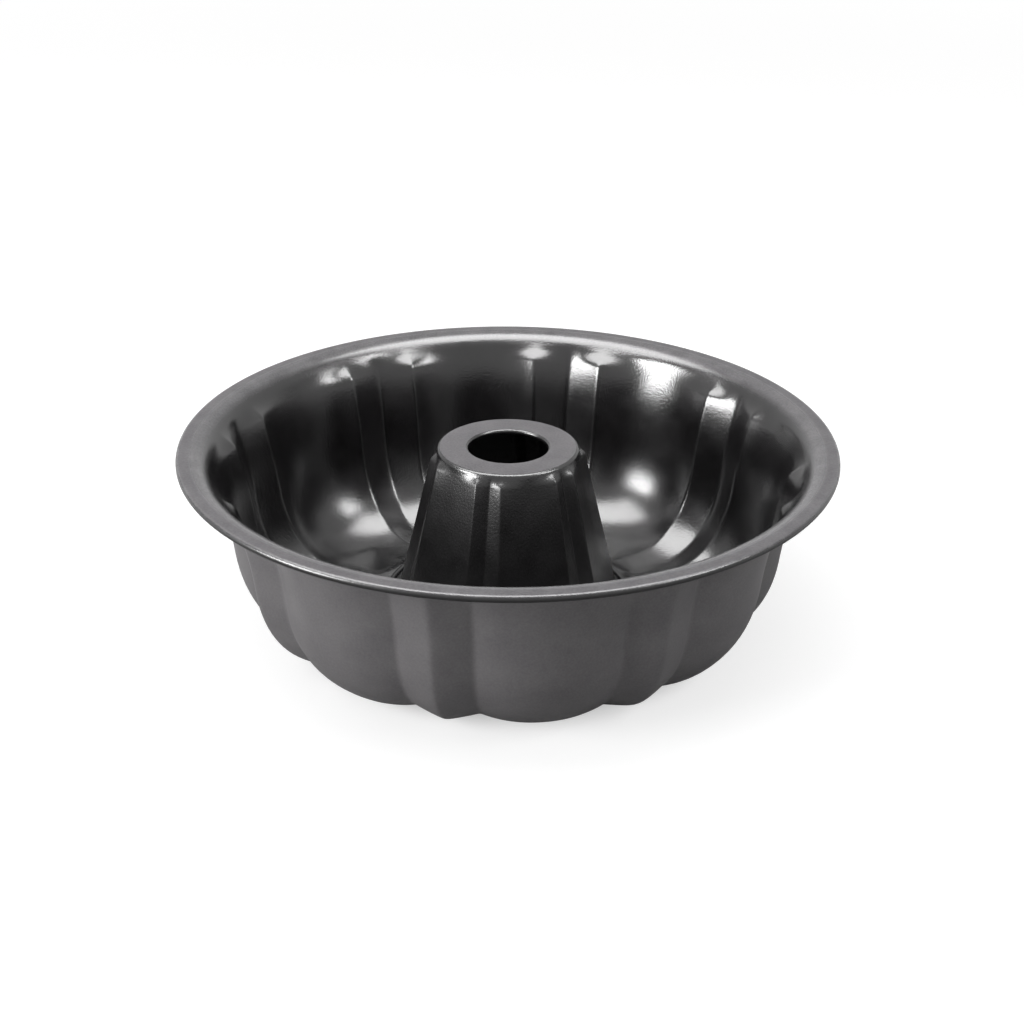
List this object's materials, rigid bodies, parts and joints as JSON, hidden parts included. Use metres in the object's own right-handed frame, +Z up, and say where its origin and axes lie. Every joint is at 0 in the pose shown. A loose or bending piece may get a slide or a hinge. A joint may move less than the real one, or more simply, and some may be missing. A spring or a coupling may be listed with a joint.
{
  "type": "fluted tube pan",
  "caption": "Round fluted cake pan with a rolled flange rim and an open fluted centre tube hooked onto its floor, for baking ring cakes that turn out with lobes and ridges.",
  "frame": {"origin": "On the pan's axis, in the plane of the flat lobe bottoms that it stands on.", "axes": "+Z is up along the centre tube, out of the pan's mouth; +X runs through the crest of one V ridge, and ridges repeat evenly around Z."},
  "size_m": [0.25, 0.25, 0.0755],
  "materials": {
    "shell_coating": "carbon steel sheet with a satin dark grey non-stick coating outside and a glossy near-black one inside",
    "tube_coating": "carbon steel sheet with the glossy near-black non-stick coating, satin grey on the flat top ring",
    "wire_steel": "bare drawn steel wire, closed in by the rolled edge"
  },
  "bodies": {
    "root": {"pan_shell": "shell_coating", "centre_tube": "tube_coating", "rim_wire": "wire_steel"}
  },
  "joints": []
}
